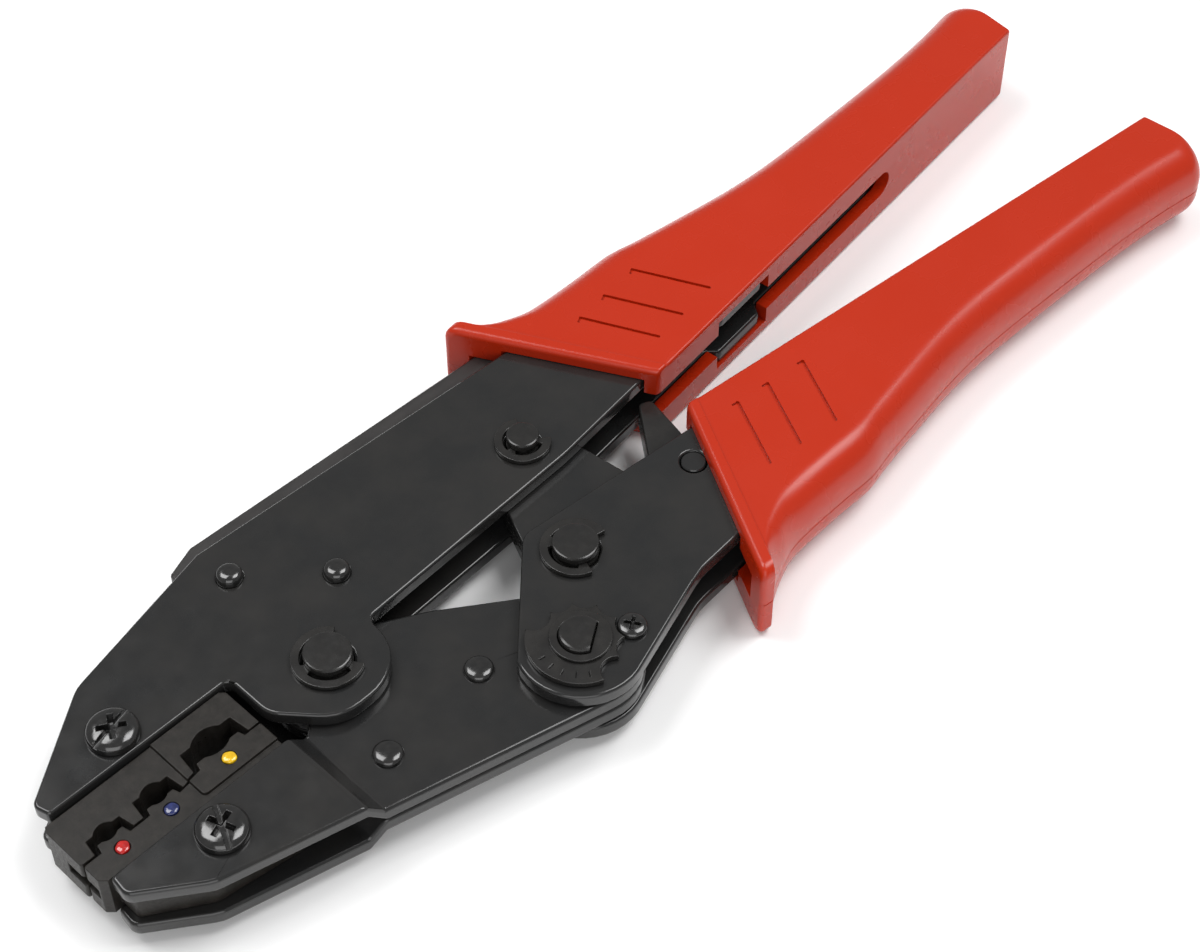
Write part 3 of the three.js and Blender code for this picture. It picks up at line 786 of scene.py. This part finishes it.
def section(from_mouth):
    """One slice of the grip, as grip coordinates. Slices lean like the mouth, then like the end."""
    share = from_mouth / RUN
    from_end = RUN - from_mouth
    flange = flange_share(from_mouth, FLANGE_FILLET)
    rim = flange_share(from_mouth, RIM_FILLET)
    edge = corner_loss(RIM, from_mouth) + corner_loss(END_RIM, from_end)

    def along(y):
        return (-1 - y * MOUTH_LEAN) * (1 - share) + (LENGTH + y * END_LEAN) * share

    # The slice leans, so where it meets the outer side is found by trying again until it settles
    side = 15
    for _ in range(12):
        side = side_at(along(side))
    reach = blend(side - corner_loss(CORNER, from_end), FLANGE_REACH, flange) - edge
    half = blend(HALF, FLANGE_HALF, rim) - edge
    inset = blend(SIDE_INSET, FLANGE_ROUND, flange)
    drop = blend(SIDE_DROP, FLANGE_ROUND, flange)

    upper = half_section(0.4 * edge, reach, half, inset, drop)
    lower = [(y, -z) for y, z in upper[1:-1]][::-1]
    return [(along(y), y, MID + z) for y, z in upper + lower]


def grip_body(grip):
    """The whole moulding, before it is hollowed."""
    rings = []
    for from_mouth in stations():
        rings.append([(*on_plan(grip, x, y), z) for x, y, z in section(from_mouth)])
    return loft(rings)


def grip_hollow(grip):
    """Cutters for the pockets that hold the plates' tails and the back strip, and for the slot."""
    def layer(points, half):
        return prism([on_plan(grip, x, y) for x, y in points], MID - half, MID + half)

    stack = TOP - MID + SLACK
    slot = [(-20, -SLOT_HALF), *arc((SLOT_END - SLOT_HALF, 0), SLOT_HALF, -90, 90, 10), (-20, SLOT_HALF)]
    rings = [[(*on_plan(grip, x, y), MID + z) for x, z in slot] for y in (-1, 5)]
    return [
        layer(TAIL_POCKET, stack),
        layer(WINDOW, stack),
        layer(STRIP_POCKET, FRONT_LOW - MID),
        loft(rings),
    ]


def capsule(start, length, turn, half):
    """A round-ended outline from start along a direction."""
    outline = arc((0, 0), half, 90, 270, 30) + arc((length, 0), half, -90, 90, 30)
    return [(start[0] + x, start[1] + y) for x, y in spun(outline, turn)]


def grip_grooves(grip):
    """Three thin finger grooves in each face, each with a small hook at one end."""
    tools = []
    for x in GROOVES:
        for face in (-1, 1):
            outlines = [capsule((x, GROOVE_TOP), GROOVE_RUN, GROOVE_TURN, GROOVE_HALF)]
            if face * grip["flip"] > 0:
                outlines.append(capsule((x, GROOVE_TOP), HOOK_RUN, -160, HOOK_HALF))
            else:
                foot = (x + GROOVE_FOOT[0], GROOVE_FOOT[1])
                outlines.append(capsule(foot, HOOK_RUN, -175, HOOK_HALF))
            surface = MID + face * HALF
            for outline in outlines:
                plan = [on_plan(grip, px, py) for px, py in outline]
                tools.append(prism(plan, surface - GROOVE_CUT, surface + GROOVE_CUT))
    return tools


for node, grip in GRIPS.items():
    cuts = grip_hollow(grip) + grip_grooves(grip)
    make(node + "_moulded", node, grip_body(grip), grip["body"], RED, (0, 0), cuts, 32)

# Flat faces stay flat next to their rounded edges
for piece in pieces:
    even = piece.modifiers.new("even_shading", "WEIGHTED_NORMAL")
    even.keep_sharp = True

# ---------------------------------------------------------------- the studio


def floor():
    """A pale, dull floor that reaches past the view."""
    bm = bmesh.new()
    half = 4000
    corners = ((-half, -half), (half, -half), (half, half), (-half, half))
    bm.faces.new([bm.verts.new((x, y, 0)) for x, y in corners])
    plane = add_object("studio_floor", to_mesh("studio_floor", bm), (0, 0))
    s = Shader("pale_floor", (0.92, 0.92, 0.92), 0.9)
    s.vary_color(s.noise(60, 2), (0.915, 0.915, 0.915), (0.925, 0.925, 0.925))
    s.bsdf.inputs["Specular IOR Level"].default_value = 0.1
    plane.data.materials.append(s.material)


# The lights all face one point and are equally far from it
LIGHTS_FACE = Vector((50, 0, 10)) * MM
LIGHT_DISTANCE = 1000 * MM


def soft_light(name, direction, side, power):
    """A square softbox that faces the middle of the tool."""
    light = bpy.data.lights.new(name, "AREA")
    light.shape = "SQUARE"
    light.size = side * MM
    light.energy = power
    holder = bpy.data.objects.new(name, light)
    toward = Vector(direction).normalized()
    holder.location = LIGHTS_FACE + toward * LIGHT_DISTANCE
    holder.rotation_euler = (-toward).to_track_quat("-Z", "Y").to_euler()
    bpy.context.scene.collection.objects.link(holder)


# The view of the tool from above its nose
CAMERA_AT = Vector((-135.1, -188.5, 327.6)) * MM
CAMERA_FACES = Vector((52.9, -3.7, 13.4)) * MM
LENS = 79.5


def camera():
    """The main view."""
    lens = bpy.data.cameras.new("photo_view")
    lens.lens = LENS
    lens.sensor_width = 36
    holder = bpy.data.objects.new("photo_view", lens)
    holder.location = CAMERA_AT
    holder.rotation_euler = (CAMERA_FACES - CAMERA_AT).to_track_quat("-Z", "Y").to_euler()
    bpy.context.scene.collection.objects.link(holder)
    bpy.context.scene.camera = holder


floor()
soft_light("right_softbox", (0.40, -0.19, 0.90), 500, 6.0)
soft_light("left_softbox", (-0.17, 0.45, 0.875), 500, 5.5)
soft_light("front_softbox", (-0.6, -0.6, 0.5), 800, 4.0)
camera()

world = bpy.data.worlds.new("studio")
world.use_nodes = True
world.node_tree.nodes["Background"].inputs["Color"].default_value = (1, 1, 1, 1)
world.node_tree.nodes["Background"].inputs["Strength"].default_value = 0.35
bpy.context.scene.world = world
bpy.context.scene.view_settings.view_transform = "Standard"
